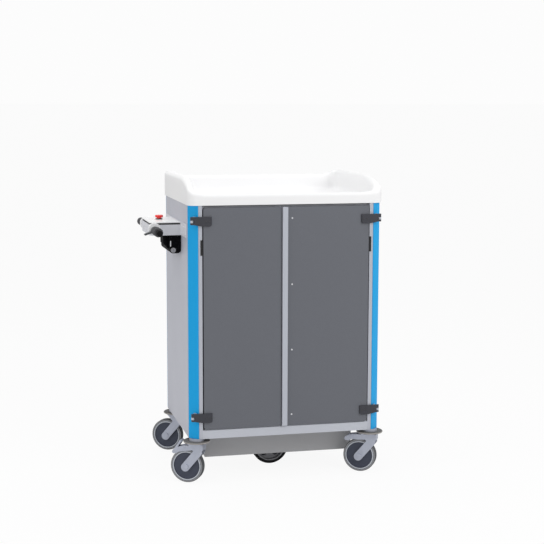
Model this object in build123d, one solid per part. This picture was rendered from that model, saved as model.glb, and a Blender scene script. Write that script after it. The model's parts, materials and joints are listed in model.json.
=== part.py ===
"""Linen distribution cart with a two-door cabinet, a top tray, swivel castors and a drive wheel.

Millimetres, Z up. The origin is on the floor under the middle of the whole cart, handle and bumpers included.
The doors face -Y and the push handle stands out on -X.
"""

import os
from math import cos, radians, sin

from build123d import *

os.makedirs("parts", exist_ok=True)

# Cabinet
body_width = 914.0
body_depth = 706.0
body_bottom = 214.0
body_top = 1296.0
post_chamfer = 44.0
post_flange = 16.0
post_web = 30.0
strip_groove_depth = 1.6
strip_margin = 2.2
strip_edge_proud = 3.0
strip_crown_proud = 4.0
strip_end_gap = 1.0
rail_height = 43.0
rail_depth = 30.0
rail_edge = 4.0
panel_thickness = 18.0
panel_gap = 0.5
floor_thickness = 18.0
roof_thickness = 18.0
roof_drop = 4.0
divider_thickness = 18.0
shelf_count = 3
shelf_thickness = 12.0
shelf_front_gap = 34.0
shelf_lip = 22.0
runner_width = 14.0
runner_height = 16.0
runner_play = 0.4

# Doors
door_proud = 5.0
door_thickness = 20.0
door_edge_gap = 5.0
door_top_gap = 11.0
door_bottom_gap = 2.0
inside_gap = 3.0
door_corner_radius = 11.0
door_seam_x = -25.0
door_seam_gap = 3.0
profile_width = 26.0
profile_proud = 9.0
profile_lip = 1.3
profile_edge_radius = 3.0
rivet_radius = 4.0
rivet_proud = 2.0
rivet_inset = 47.0
rivet_end_margin = 52.0
rivet_count = 4

# Door hinges
hinge_pin_inset = 12.0
hinge_pin_forward = 3.0
hinge_pin_radius = 3.0
hinge_barrel_radius = 7.0
hinge_height = 43.0
hinge_knuckle_height = 36.0
hinge_middle_knuckle = 11.0
hinge_top_margin = 61.0
hinge_bottom_margin = 55.0
hinge_arm_thickness = 8.0
hinge_arm_overlap = 38.0
hinge_arm_root = 14.0
hinge_arm_edge = 3.0
hinge_arm_corner = 6.0
hinge_slot_reach = 8.0
hinge_play = 0.5
hinge_fit = 0.05
hinge_block_width = 18.0
hinge_block_proud = 8.0
hinge_block_edge = 3.0
hinge_neck_width = 7.0

# Door buffers and magnetic catches
buffer_cover = 8.0
buffer_proud = 2.5
buffer_thickness = 3.0
buffer_height = 70.0
buffer_depth = 16.0
buffer_drop = 181.0
catch_width = 46.0
catch_height = 16.0
catch_depth = 22.0
catch_gap = 0.4

# Top tray
tray_overhang = 4.5
tray_corner_radius = 40.0
tray_wall = 38.0
tray_floor = 13.0
tray_front_height = 51.0
tray_back_height = 98.0
tray_side_height = 121.0
tray_shoulder_length = 237.0
tray_shoulder_drop = 95.0
tray_front_slope = 30.0
tray_front_land = 24.0
tray_back_slope = 40.0
tray_cove_radius = 26.0

# Castors
castor_inset = 37.0
castor_rear_inset = 76.0
castor_trail = 45.0
castor_turn = 30.0
wheel_radius = 79.0
wheel_width = 32.0
tyre_thickness = 9.0
wheel_rim_ring = 7.0
wheel_disc_recess = 3.0
wheel_hub_radius = 15.0
axle_radius = 6.0
axle_fit = 0.08
axle_head_radius = 11.0
axle_head_height = 4.0
fork_plate = 4.0
fork_gap = 5.0
fork_leg_width = 40.0
fork_leg_overrun = 7.0
fork_crown_top = 186.0
fork_crown_bottom = 158.0
fork_crown_half = 37.0
fork_shoulder = (-14.0, 150.0)
race_radius = 33.0
race_play = 0.5
stem_radius = 9.0
stem_fit = 0.08
bumper_radius = 62.5
bumper_thickness = 8.0
bumper_edge_radius = 3.5
plate_thickness = 12.0
plate_inset = 1.0
pedal_pivot = (10.0, 170.0)
pedal_pivot_radius = 4.0
pedal_side_gap = 1.0
pedal_wall = 3.0
pedal_drop = 8.0
pedal_outline = [
    (4, 158), (4, 178), (36, 180), (60, 183), (97, 177), (114, 167), (119, 157), (115, 150), (100, 148), (84, 155),
]
pedal_plate_outline = [(119, 157), (72, 210), (65, 204), (112, 151)]

# Drive unit
housing_front_recess = 151.0
housing_rear_recess = 191.0
housing_side_inset = 96.0
housing_bottom = 86.0
housing_wall = 3.0
drive_radius = 90.0
drive_width = 50.0
drive_tyre_thickness = 15.0
drive_x = -12.0
drive_y = -53.0
drive_rim_web = 14.0
drive_window_count = 5
drive_window_radius = 15.0
drive_hub_radius = 26.0
drive_axle_radius = 10.0
drive_axle_fit = 0.08
drive_pivot_reach = 190.0
drive_pivot_z = 168.0
drive_pivot_radius = 12.0
drive_pivot_fit = 0.08
drive_arm_plate = 8.0
drive_arm_gap = 6.0
drive_arm_height = 44.0
drive_bracket_plate = 10.0
battery_size = (190.0, 250.0, 110.0)
battery_x = -215.0
battery_corner_radius = 8.0

# Push handle
bracket_overlap = 2.0
bracket_height = 62.0
bracket_lift = 2.0
bracket_thickness = 4.0
bracket_bolt_radius = 5.0
bracket_bolt_head = 3.0
bracket_bolt_inset = 58.0
console_bottom = 1142.0
console_height = 50.0
console_length = 143.0
console_half_width = 135.0
console_corner_radius = 14.0
console_wall = 4.0
seal_height = 8.0
seal_inset = 3.0
cover_height = 6.0
cover_edge_radius = 4.0
bar_setback = 20.0
bar_above_console = 27.0
bar_radius = 12.5
bar_half_length = 310.0
bar_fit = 0.1
collar_size = 52.0
collar_corner = 20.0
collar_lift = 5.0
collar_length = 22.0
grip_radius = 21.0
grip_start = 205.0
grip_length = 70.0
grip_rib_count = 9
grip_rib_depth = 1.2
rear_grip_radius = 18.5
end_grip_radius = 14.0
end_grip_cap = 10.0
end_grip_round = 4.0
grip_bore_gap = 0.1
paddle_gap = 0.6
paddle_width = 26.0
paddle_hub_radius = 18.0
paddle_reach = 54.0
paddle_thickness = 7.0
paddle_droop = 20.0
paddle_fit = 0.08
button_setback = 64.0
button_radius = 19.0
button_stem_radius = 11.0
button_head_height = 12.0
button_travel_gap = 5.0
button_fit = 0.1
button_base_radius = 17.0
button_base_height = 4.0
button_edge_radius = 3.5

# Control box under the console
control_depth = 86.0
control_reach = 80.0
control_middle_length = 105.0
control_front_reach = 54.0
control_step = 30.0
control_slope = 42.0
control_corner_radius = 16.0
control_wall_radius = 18.0
control_edge_radius = 4.0
key_radius = 10.0
key_depth = 18.0
key_proud = 5.0
key_rim = 2.0
key_fit = 0.08
key_slot = (2.4, 11.0, 4.0)

# Places that follow from the sizes above
front = -body_depth / 2
back = body_depth / 2
side = body_width / 2
bumper_reach = bumper_radius - castor_inset
console_inner = side + bracket_thickness
console_outer = console_inner + console_length
bar_side = console_outer - bar_setback
handle_reach = bar_side - side + paddle_reach * cos(radians(paddle_droop))
cabinet_x = (handle_reach - bumper_reach) / 2
cabinet_y = (bumper_reach - tray_overhang) / 2
post_arm = post_chamfer + post_flange
inner_x = side - post_arm
inner_y = back - post_arm
rail_top = body_bottom + rail_height
floor_bottom = rail_top - floor_thickness
roof_top = body_top - roof_drop
roof_bottom = roof_top - roof_thickness
door_front = front - door_proud
door_back = door_front + door_thickness
door_bottom = rail_top + door_bottom_gap
door_top = body_top - door_top_gap
door_outer = inner_x - door_edge_gap
inside_front = door_back + inside_gap
castor_x = side - castor_inset
bumper_top = body_bottom - plate_thickness
bumper_bottom = bumper_top - bumper_thickness
hinge_levels = (door_bottom + hinge_bottom_margin, door_top - hinge_top_margin)
console_top = console_bottom + console_height
seal_top = console_top + seal_height
cover_top = seal_top + cover_height
bar_z = console_bottom + bar_above_console
button_side = console_outer - button_setback
housing_x = side - housing_side_inset
housing_front = front + housing_front_recess
housing_rear = back - housing_rear_recess


def block(x0, x1, y0, y1, z0, z1):
    """A box between two corners."""
    size = Box(x1 - x0, y1 - y0, z1 - z0)
    return Pos((x0 + x1) / 2, (y0 + y1) / 2, (z0 + z1) / 2) * size


def prism(points, bottom, top):
    """An upright prism on a plan outline."""
    return extrude(Plane.XY.offset(bottom) * make_face(Polyline(*points, close=True)), top - bottom)


def rod_y(x, y0, y1, z, radius):
    """A cylinder along Y."""
    plane = Plane(origin=(x, y0, z), x_dir=(1, 0, 0), z_dir=(0, 1, 0))
    return extrude(plane * Circle(radius), y1 - y0)


def rod_z(x, y, z0, z1, radius):
    """An upright cylinder."""
    return extrude(Plane(origin=(x, y, z0)) * Circle(radius), z1 - z0)


def side_plate(outline, y0, thickness):
    """A plate standing in the XZ plane, from y0 towards +Y."""
    plane = Plane(origin=(0, y0 + thickness, 0), x_dir=(1, 0, 0), z_dir=(0, -1, 0))
    return extrude(plane * outline, thickness)


def save(name, *solids):
    """Writes one node, with the cabinet moved to its place over the origin."""
    shift = Pos(cabinet_x, cabinet_y, 0)
    parts = []
    for solid in solids:
        parts.extend((shift * solid).solids())
    shape = parts[0] if len(parts) == 1 else Compound(children=parts)
    shape.label = name
    export_step(shape, f"parts/{name}.step")


def corner_name(sx, sy):
    """The name of a corner, from its sides."""
    return ("front_" if sy < 0 else "rear_") + ("left" if sx < 0 else "right")


corners = [(sx, sy) for sy in (-1, 1) for sx in (-1, 1)]


def corner_face(sx, sy, local_points):
    """Points given from a corner inwards and backwards, as plan points."""
    return [(sx * (side - u), sy * (back - v)) for u, v in local_points]


# Places of a hinge, measured from a front corner of the cabinet, inwards and backwards

pin_u = hinge_pin_inset
pin_v = -hinge_pin_forward
pin_side = side - pin_u
pin_y = front + pin_v
foot_run = (post_chamfer - pin_u - pin_v) / 2


def hinge_prism(sx, points, bottom, top):
    """A prism on plan points given from a front corner."""
    return prism(corner_face(sx, -1, points), bottom, top)


def foot_point(across, out):
    """A point near the hinge block's foot, across the 45 degree face and out of it."""
    return (pin_u + foot_run + (across - out) / 2 ** 0.5, pin_v + foot_run - (across + out) / 2 ** 0.5)


def knuckle_span(middle):
    """The bottom and top of the hinge's knuckles, which end flush with the top of the arm."""
    top = middle + hinge_height / 2
    return top - hinge_knuckle_height, top


def hinge_notch(sx, middle):
    """The room that a corner strip leaves round a hinge block."""
    low, high = knuckle_span(middle)
    half = hinge_block_width / 2 + hinge_play
    reach = 2 * hinge_block_proud
    points = [foot_point(half, -reach), foot_point(half, reach), foot_point(-half, reach), foot_point(-half, -reach)]
    return hinge_prism(sx, points, low - hinge_play, high + hinge_play)


# Corner posts


def corner_post(sx, sy):
    """An extrusion with a flange on each face and a grooved 45 degree face between them."""
    outline = [
        (post_chamfer, 0), (post_arm, 0), (post_arm, post_web), (post_web, post_web),
        (post_web, post_arm), (0, post_arm), (0, post_chamfer),
    ]
    post = prism(corner_face(sx, sy, outline), body_bottom, body_top)
    margin = strip_margin
    depth = strip_groove_depth
    groove = [
        (post_chamfer - margin - depth, margin - depth), (post_chamfer - margin + depth, margin + depth),
        (margin + depth, post_chamfer - margin + depth), (margin - depth, post_chamfer - margin - depth),
    ]
    return post - prism(corner_face(sx, sy, groove), body_bottom, body_top)


def corner_strip(sx, sy):
    """The coloured strip that clips into the post's 45 degree face, slightly crowned."""
    margin = strip_margin
    depth = strip_groove_depth
    edge = strip_edge_proud / 2 ** 0.5
    crown_place = post_chamfer / 2 - strip_crown_proud / 2 ** 0.5
    points = corner_face(sx, sy, [
        (post_chamfer - margin + depth, margin + depth),
        (margin + depth, post_chamfer - margin + depth),
        (margin - edge, post_chamfer - margin - edge),
        (crown_place, crown_place),
        (post_chamfer - margin - edge, margin - edge),
    ])
    first = Line(points[0], points[1])
    second = Line(points[1], points[2])
    crown = ThreePointArc(points[2], points[3], points[4])
    last = Line(points[4], points[0])
    face = make_face(Curve() + [first, second, crown, last])
    height = body_top - body_bottom - 2 * strip_end_gap
    strip = extrude(Plane.XY.offset(body_bottom + strip_end_gap) * face, height)
    if sy < 0:
        for middle in hinge_levels:
            strip -= hinge_notch(sx, middle)
    return strip


for sx, sy in corners:
    save(f"corner_post_{corner_name(sx, sy)}", corner_post(sx, sy))
save("corner_strips", *[corner_strip(sx, sy) for sx, sy in corners])


# Cabinet panels and rails

def side_panel(sx):
    """A flat panel between the side flanges of two posts."""
    edge = inner_y - panel_gap
    x0, x1 = sorted((sx * side, sx * (side - panel_thickness)))
    return block(x0, x1, -edge, edge, body_bottom, body_top)


save("side_panel_left", side_panel(-1))
save("side_panel_right", side_panel(1))
save("back_panel", block(-inner_x, inner_x, back - panel_thickness, back, rail_top, body_top))

front_rail = block(-inner_x, inner_x, front, front + rail_depth, body_bottom, rail_top)
rail_front_edge = front_rail.edges().filter_by(Axis.X).sort_by(Axis.Z)[-2:].sort_by(Axis.Y)[0]
save("front_rail", chamfer(rail_front_edge, rail_edge))
rail_inner = side - panel_thickness
base_rails = [block(-inner_x, inner_x, back - rail_depth, back, body_bottom, rail_top)]
for sx in (-1, 1):
    x0, x1 = sorted((sx * rail_inner, sx * (rail_inner - rail_depth)))
    base_rails.append(block(x0, x1, -inner_y, inner_y, body_bottom, floor_bottom))
save("base_rails", *base_rails)

floor_panel = block(-rail_inner, rail_inner, -inner_y, inner_y, floor_bottom, rail_top)
floor_panel += block(-inner_x, inner_x, front + rail_depth, back - rail_depth, floor_bottom, rail_top)
save("floor_panel", floor_panel)

roof_panel = block(-rail_inner, rail_inner, -inner_y, inner_y, roof_bottom, roof_top)
roof_panel += block(-inner_x, inner_x, inside_front, back - panel_thickness, roof_bottom, roof_top)
save("roof_panel", roof_panel)

half_divider = divider_thickness / 2
save("centre_divider", block(-half_divider, half_divider, inside_front, back - panel_thickness,
                             rail_top, roof_bottom))


# Shelves on runners, in two columns

shelf_pitch = (roof_bottom - rail_top) / (shelf_count + 1)
shelf_levels = [rail_top + shelf_pitch * (i + 1) for i in range(shelf_count)]
column_outer = rail_inner
shelf_back = inner_y - panel_gap
shelf_front = front + shelf_front_gap


def shelf(sx, level):
    """A flat shelf with a turned-down front lip, which lies on its two runners."""
    x0, x1 = sorted((sx * (half_divider + panel_gap), sx * (inner_x - panel_gap)))
    plate = block(x0, x1, shelf_front, shelf_back, level - shelf_thickness, level)
    lip_back = shelf_front + shelf_thickness
    lip_x0, lip_x1 = sorted((sx * (half_divider + runner_width + 1.0), sx * (inner_x - runner_width)))
    plate += block(lip_x0, lip_x1, shelf_front, lip_back, level - shelf_lip, level)
    return plate


def runner_pair(sx, level):
    """The runners of one shelf, one on the divider and one on the side panel."""
    top = level - shelf_thickness
    bottom = top - runner_height
    y0 = -inner_y + panel_gap
    pair = []
    for near, far in ((half_divider, half_divider + runner_width), (rail_inner, inner_x - runner_width)):
        x0, x1 = sorted((sx * near, sx * far))
        pair.append(block(x0, x1, y0, shelf_back, bottom, top))
    return pair


save("shelves", *[shelf(sx, level) for sx in (-1, 1) for level in shelf_levels])
runners = []
for sx in (-1, 1):
    for level in shelf_levels:
        runners.extend(runner_pair(sx, level))
save("shelf_runners", *runners)


# Top tray

def rim_notch(reach, slope, low, high, y0, y1):
    """What is cut from the tray's rim between its sides: a level bottom with a slope at each end."""
    outline = Polyline(
        (-reach - slope, high + slope), (-reach, high), (-reach + slope, low),
        (reach - slope, low), (reach, high), (reach + slope, high + slope), close=True)
    return side_plate(make_face(outline), y0, y1 - y0)


def top_tray():
    """A moulded tray with high rounded sides, a lower back and a low front lip."""
    width = body_width + 2 * tray_overhang
    depth = body_depth + 2 * tray_overhang
    top = body_top + tray_side_height
    tray = extrude(Plane.XY.offset(body_top) * RectangleRounded(width, depth, tray_corner_radius), tray_side_height)
    # The sides slope down to the front in a long quarter of an ellipse
    front_y = -depth / 2
    centre_y = front_y + tray_shoulder_length
    centre_z = top - tray_shoulder_drop
    arc = EllipticalCenterArc((centre_y, centre_z), tray_shoulder_length, tray_shoulder_drop,
                              start_angle=90, arc_size=90)
    outline = [
        arc,
        Line(arc @ 1, (2 * front_y, centre_z)),
        Line((2 * front_y, centre_z), (2 * front_y, 2 * top)),
        Line((2 * front_y, 2 * top), (centre_y, 2 * top)),
        Line((centre_y, 2 * top), arc @ 0),
    ]
    plane = Plane(origin=(-width, 0, 0), x_dir=(0, 1, 0), z_dir=(1, 0, 0))
    tray -= extrude(plane * make_face(Curve() + outline), 2 * width)
    reach = width / 2 - tray_wall
    tray -= rim_notch(reach, tray_front_slope, body_top + tray_front_height, top, -depth, centre_y)
    tray -= rim_notch(reach, tray_back_slope, body_top + tray_back_height, top, depth / 2 - 3 * tray_wall, depth)
    inner = RectangleRounded(width - 2 * tray_wall, depth - tray_wall - tray_front_land, tray_corner_radius)
    middle = (tray_front_land - tray_wall) / 2
    hollow = extrude(Plane(origin=(0, middle, body_top + tray_floor)) * inner, 2 * tray_side_height)
    hollow = fillet(hollow.faces().sort_by(Axis.Z)[0].edges(), tray_cove_radius)
    return tray - hollow


save("top_tray", top_tray())


# Doors, each with its hinge arms

def door_panel(x0, x1):
    """A flat door leaf with rounded corners."""
    outline = Pos((x0 + x1) / 2, (door_bottom + door_top) / 2) * RectangleRounded(
        x1 - x0, door_top - door_bottom, door_corner_radius)
    return side_plate(outline, door_front, door_thickness)


profile_x = door_seam_x + door_seam_gap / 2
save("left_door_panel", door_panel(-door_outer, door_seam_x - door_seam_gap / 2))
save("right_door_panel", door_panel(profile_x + profile_lip, door_outer))


def centre_profile():
    """The full-height strip on the right door's free edge, with a lip round that edge."""
    bar = block(profile_x, profile_x + profile_width, door_front - profile_proud, door_front,
                door_bottom, door_top)
    front_edges = bar.edges().filter_by(Axis.Z).sort_by(Axis.Y)[:2]
    bar = fillet(front_edges, profile_edge_radius)
    return bar + block(profile_x, profile_x + profile_lip, door_front, door_back, door_bottom, door_top)


save("centre_profile", centre_profile())
rivet_x = profile_x + rivet_inset
rivet_low = door_bottom + rivet_end_margin
rivet_pitch = (door_top - rivet_end_margin - rivet_low) / (rivet_count - 1)


def rivet(z):
    """A flat-domed rivet head on the right door."""
    head = rod_y(rivet_x, door_front - rivet_proud, door_front, z, rivet_radius)
    return chamfer(head.edges().sort_by(Axis.Y)[0], rivet_proud / 2)


save("profile_rivets", *[rivet(rivet_low + rivet_pitch * i) for i in range(rivet_count)])


# Hinges

door_u = side - door_outer
knuckle_gap = hinge_middle_knuckle / 2 + hinge_play


def hinge_bore(sx, low, high, radius):
    """A cylinder on the hinge's turning line."""
    return rod_z(sx * pin_side, pin_y, low, high, radius)


def hinge_block(sx, middle):
    """The block on the post's 45 degree face, with a neck out to the middle knuckle."""
    low, high = knuckle_span(middle)
    half = hinge_block_width / 2
    out = hinge_block_proud
    edge = hinge_block_edge
    floor = -strip_groove_depth * 2 ** 0.5
    body = hinge_prism(sx, [
        foot_point(half, floor), foot_point(half, out - edge), foot_point(half - edge, out),
        foot_point(edge - half, out), foot_point(-half, out - edge), foot_point(-half, floor),
    ], low, high)
    neck = hinge_neck_width / 2
    pin_out = foot_run * 2 ** 0.5
    neck_points = [foot_point(neck, out - edge), foot_point(neck, pin_out),
                   foot_point(-neck, pin_out), foot_point(-neck, out - edge)]
    knuckle = hinge_middle_knuckle / 2
    body += hinge_prism(sx, neck_points, middle - knuckle, middle + knuckle)
    body += hinge_bore(sx, middle - knuckle, middle + knuckle, hinge_barrel_radius)
    return body - hinge_bore(sx, low, high, hinge_pin_radius + hinge_fit)


def hinge_arm(sx, middle):
    """The strap that turns on the pin, passes in front of the post and is fixed on the door."""
    low = middle - hinge_height / 2
    knuckle_low, high = knuckle_span(middle)
    face = -door_proud
    outer = face - hinge_arm_thickness
    end = door_u + hinge_arm_overlap
    edge = hinge_arm_edge
    slot_end = pin_u + hinge_slot_reach
    arm = hinge_prism(sx, [
        (pin_u, pin_v - hinge_barrel_radius), (post_arm, outer), (end - edge, outer), (end, outer + edge),
        (end, face), (door_u - hinge_play, face), (door_u - hinge_play, -hinge_play),
        (pin_u + hinge_arm_root, -hinge_play), (slot_end, pin_v), (pin_u, pin_v),
    ], low, high)
    # Seen from the front, the bottom edge tapers up to the knuckles and the free end has a cut corner
    corner = hinge_arm_corner
    seen = Polyline(*[(sx * (side - u), z) for u, z in [
        (pin_u, knuckle_low), (slot_end, knuckle_low), (post_arm, low), (end - corner, low),
        (end, low + corner), (end, high), (pin_u, high),
    ]], close=True)
    arm &= side_plate(make_face(seen), front - body_depth, 2 * body_depth)
    for z0, z1 in ((knuckle_low, middle - knuckle_gap), (middle + knuckle_gap, high)):
        arm += hinge_bore(sx, z0, z1, hinge_barrel_radius)
    reach = hinge_barrel_radius + 1.0
    arm -= hinge_prism(sx, [
        (pin_u - reach, pin_v - 2 * reach), (slot_end, pin_v - 2 * reach), (slot_end, 0), (pin_u - reach, 0),
    ], middle - knuckle_gap, middle + knuckle_gap)
    return arm - hinge_bore(sx, low, high, hinge_pin_radius + hinge_fit)


def hinge_pin(sx, middle):
    """The pin through the arm's two knuckles and the block's one."""
    low, high = knuckle_span(middle)
    return hinge_bore(sx, low, high, hinge_pin_radius)


hinge_places = [(sx, z) for sx in (-1, 1) for z in hinge_levels]
save("hinge_blocks", *[hinge_block(sx, z) for sx, z in hinge_places])
save("hinge_pins", *[hinge_pin(sx, z) for sx, z in hinge_places])
save("hinge_arms_left", *[hinge_arm(-1, z) for z in hinge_levels])
save("hinge_arms_right", *[hinge_arm(1, z) for z in hinge_levels])


# Rubber buffers on the post flanges and magnetic catches behind the doors

def door_buffer(sx):
    """A rubber angle on the post's flange that also fills the gap beside a door."""
    middle = door_top - buffer_drop
    outline = [
        (post_arm - buffer_cover, -buffer_proud), (post_arm + buffer_thickness, -buffer_proud),
        (post_arm + buffer_thickness, buffer_depth), (post_arm, buffer_depth),
        (post_arm, 0), (post_arm - buffer_cover, 0),
    ]
    return hinge_prism(sx, outline, middle - buffer_height / 2, middle + buffer_height / 2)


def magnetic_catch(sx, z0):
    """A magnet block that holds a closed door."""
    near = -door_seam_x + door_seam_gap if sx < 0 else half_divider + panel_gap
    x0, x1 = sorted((sx * near, sx * (near + catch_width)))
    y0 = door_back + catch_gap
    return block(x0, x1, y0, y0 + catch_depth, z0, z0 + catch_height)


save("door_buffers", door_buffer(-1), door_buffer(1))
save("magnetic_catches", *[magnetic_catch(sx, z) for sx in (-1, 1)
                           for z in (rail_top, roof_bottom - catch_height)])


# Castors, drawn with the swivel axis at the origin and the wheel trailing along +X

def at_castor(sx, sy, solid):
    """Puts a castor piece under its corner, turned as the castor stands."""
    y = front + castor_inset if sy < 0 else back - castor_rear_inset
    return Pos(sx * castor_x, y, 0) * Rot(0, 0, 180 - castor_turn) * solid


axle_z = wheel_radius
leg_inner = wheel_width / 2 + fork_gap
leg_outer = leg_inner + fork_plate
race_top = bumper_bottom - race_play


def castor_plate():
    """The round plate under the frame that the swivel stem turns in."""
    plate = rod_z(0, 0, bumper_top, body_bottom, castor_inset - plate_inset)
    return plate - rod_z(0, 0, bumper_top, body_bottom, stem_radius + stem_fit)


def bumper_disc():
    """The soft wall bumper round the castor head."""
    disc = rod_z(0, 0, bumper_bottom, bumper_top, bumper_radius)
    rims = disc.edges().filter_by(GeomType.CIRCLE)
    disc = fillet(rims, bumper_edge_radius)
    return disc - rod_z(0, 0, bumper_bottom, bumper_top, stem_radius + stem_fit)


def fork_leg():
    """One leg in side view: a crown, and a strap down to the axle."""
    shoulder_x, shoulder_z = fork_shoulder
    radius = fork_leg_width / 2
    run = Vector(castor_trail - shoulder_x, axle_z - shoulder_z, 0)
    run = run * ((run.length + fork_leg_overrun) / run.length)
    angle = Vector(1, 0, 0).get_signed_angle(run, Vector(0, 0, 1))
    middle = Pos(shoulder_x + run.X / 2, shoulder_z + run.Y / 2)
    strap = middle * Rot(0, 0, angle) * SlotCenterToCenter(run.length, 2 * radius)
    crown = make_face(Polyline(
        (-fork_crown_half, fork_crown_top), (fork_crown_half, fork_crown_top),
        (radius / 2, fork_crown_bottom - radius / 4), (-fork_crown_half, fork_crown_bottom), close=True))
    return strap + crown


def castor_fork():
    """A pressed fork with its race, swivel stem and, as a second solid, the axle bolt."""
    outline = fork_leg()
    fork = side_plate(outline, leg_inner, fork_plate) + side_plate(outline, -leg_outer, fork_plate)
    fork += block(-fork_crown_half, fork_crown_half, -leg_outer, leg_outer,
                  fork_crown_top - fork_plate, fork_crown_top)
    fork += block(-fork_crown_half, -fork_crown_half + fork_plate, -leg_outer, leg_outer,
                  fork_crown_bottom, fork_crown_top)
    fork += rod_z(0, 0, fork_crown_top - fork_plate, race_top, race_radius)
    fork += rod_z(0, 0, fork_crown_top, body_bottom - race_play, stem_radius)
    fork -= rod_y(castor_trail, -leg_outer, leg_outer, axle_z, axle_radius + axle_fit)
    return fork


def axle_bolt():
    """The bolt through both legs and the wheel."""
    end = leg_outer + axle_head_height
    bolt = rod_y(castor_trail, -leg_outer, leg_outer, axle_z, axle_radius)
    bolt += rod_y(castor_trail, -end, -leg_outer, axle_z, axle_head_radius)
    bolt += rod_y(castor_trail, leg_outer, end, axle_z, axle_head_radius)
    return bolt


def wheel_centre():
    """The wheel's centre: a disc with a raised rim ring, a hub and a bore."""
    half = wheel_width / 2
    rim = wheel_radius - tyre_thickness
    centre = rod_y(castor_trail, -half, half, axle_z, rim)
    dish = rim - wheel_rim_ring
    for y0, y1 in ((-half, -half + wheel_disc_recess), (half - wheel_disc_recess, half)):
        centre -= rod_y(castor_trail, y0, y1, axle_z, dish)
    hub = leg_inner - race_play
    centre += rod_y(castor_trail, -hub, hub, axle_z, wheel_hub_radius)
    return centre - rod_y(castor_trail, -hub, hub, axle_z, axle_radius + axle_fit)


def ring_tyre(x, y0, y1, z, outer, thickness):
    """A tyre with rounded shoulders."""
    tyre = rod_y(x, y0, y1, z, outer)
    tyre = fillet(tyre.edges().filter_by(GeomType.CIRCLE), thickness * 0.35)
    return tyre - rod_y(x, y0, y1, z, outer - thickness)


def wheel_tyre():
    """The castor's tyre."""
    half = wheel_width / 2
    return ring_tyre(castor_trail, -half, half, axle_z, wheel_radius, tyre_thickness)


def brake_pedal(drop, with_plate):
    """A channel-shaped pedal over the wheel, turned down by some degrees about its pivot."""
    half = leg_inner - pedal_side_gap
    px, pz = pedal_pivot
    outline = make_face(Polyline(*pedal_outline, close=True))
    pedal = side_plate(outline, -half, 2 * half)
    inner = half - pedal_wall
    hollow = side_plate(Pos(-pedal_wall, -pedal_wall) * outline, -inner, 2 * inner)
    reach = px + 2 * pedal_pivot_radius
    pedal -= hollow & block(reach, reach + 2 * wheel_radius, -inner, inner, axle_z, body_bottom)
    pedal += rod_y(px, -half, half, pz, pedal_pivot_radius + pedal_wall)
    pedal -= rod_y(px, -half, half, pz, pedal_pivot_radius)
    if with_plate:
        pedal += side_plate(make_face(Polyline(*pedal_plate_outline, close=True)), -half, 2 * half)
    return Pos(px, 0, pz) * Rot(0, drop, 0) * Pos(-px, 0, -pz) * pedal


def pedal_pin():
    """The pin between the fork's legs that the pedal turns on."""
    px, pz = pedal_pivot
    return rod_y(px, -leg_inner, leg_inner, pz, pedal_pivot_radius - axle_fit)


save("castor_plates", *[at_castor(sx, sy, castor_plate()) for sx, sy in corners])
save("bumper_discs", *[at_castor(sx, sy, bumper_disc()) for sx, sy in corners])
for sx, sy in corners:
    name = corner_name(sx, sy)
    fork_solids = [castor_fork(), axle_bolt()]
    if sy < 0:
        fork_solids.append(pedal_pin())
        drop = pedal_drop if sx < 0 else 0.0
        save(f"brake_pedal_{name}", at_castor(sx, sy, brake_pedal(drop, sx < 0)))
    save(f"castor_fork_{name}", *[at_castor(sx, sy, solid) for solid in fork_solids])
    save(f"wheel_centre_{name}", at_castor(sx, sy, wheel_centre()))
    save(f"wheel_tyre_{name}", at_castor(sx, sy, wheel_tyre()))


# Drive unit under the floor

def drive_housing():
    """The open-bottomed cover under the floor."""
    outer = block(-housing_x, housing_x, housing_front, housing_rear, housing_bottom, floor_bottom)
    wall = housing_wall
    inner = block(-housing_x + wall, housing_x - wall, housing_front + wall, housing_rear - wall,
                  housing_bottom, floor_bottom)
    return outer - inner


arm_inner = drive_width / 2 + drive_arm_gap
arm_outer = arm_inner + drive_arm_plate
bracket_inner = arm_outer + 1.0
bracket_outer = bracket_inner + drive_bracket_plate
drive_pivot_x = drive_x + drive_pivot_reach


def drive_arm():
    """Two plates with a sleeve at the pivot and an axle at the wheel."""
    run = Vector(drive_pivot_reach, drive_pivot_z - drive_radius, 0)
    angle = Vector(1, 0, 0).get_signed_angle(run, Vector(0, 0, 1))
    middle = Pos(drive_x + drive_pivot_reach / 2, (drive_pivot_z + drive_radius) / 2)
    outline = middle * Rot(0, 0, angle) * SlotCenterToCenter(run.length, drive_arm_height)
    arm = side_plate(outline, drive_y + arm_inner, drive_arm_plate)
    arm += side_plate(outline, drive_y - arm_outer, drive_arm_plate)
    arm += rod_y(drive_pivot_x, drive_y - arm_outer, drive_y + arm_outer, drive_pivot_z,
                 drive_arm_height / 2)
    arm += rod_y(drive_x, drive_y - arm_outer, drive_y + arm_outer, drive_radius, drive_axle_radius)
    return arm - rod_y(drive_pivot_x, drive_y - arm_outer, drive_y + arm_outer, drive_pivot_z,
                       drive_pivot_radius + drive_pivot_fit)


def drive_bracket():
    """Two hanger plates under the floor and, as a third solid, the pivot pin between them."""
    half = drive_arm_height / 2
    plates = []
    for y0 in (drive_y - bracket_outer, drive_y + bracket_inner):
        plate = block(drive_pivot_x - half, drive_pivot_x + half, y0, y0 + drive_bracket_plate,
                      drive_pivot_z, floor_bottom)
        plate += rod_y(drive_pivot_x, y0, y0 + drive_bracket_plate, drive_pivot_z, half)
        plate -= rod_y(drive_pivot_x, y0, y0 + drive_bracket_plate, drive_pivot_z,
                       drive_pivot_radius + drive_pivot_fit)
        plates.append(plate)
    pin = rod_y(drive_pivot_x, drive_y - bracket_outer, drive_y + bracket_outer, drive_pivot_z,
                drive_pivot_radius)
    return plates + [pin]


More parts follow.
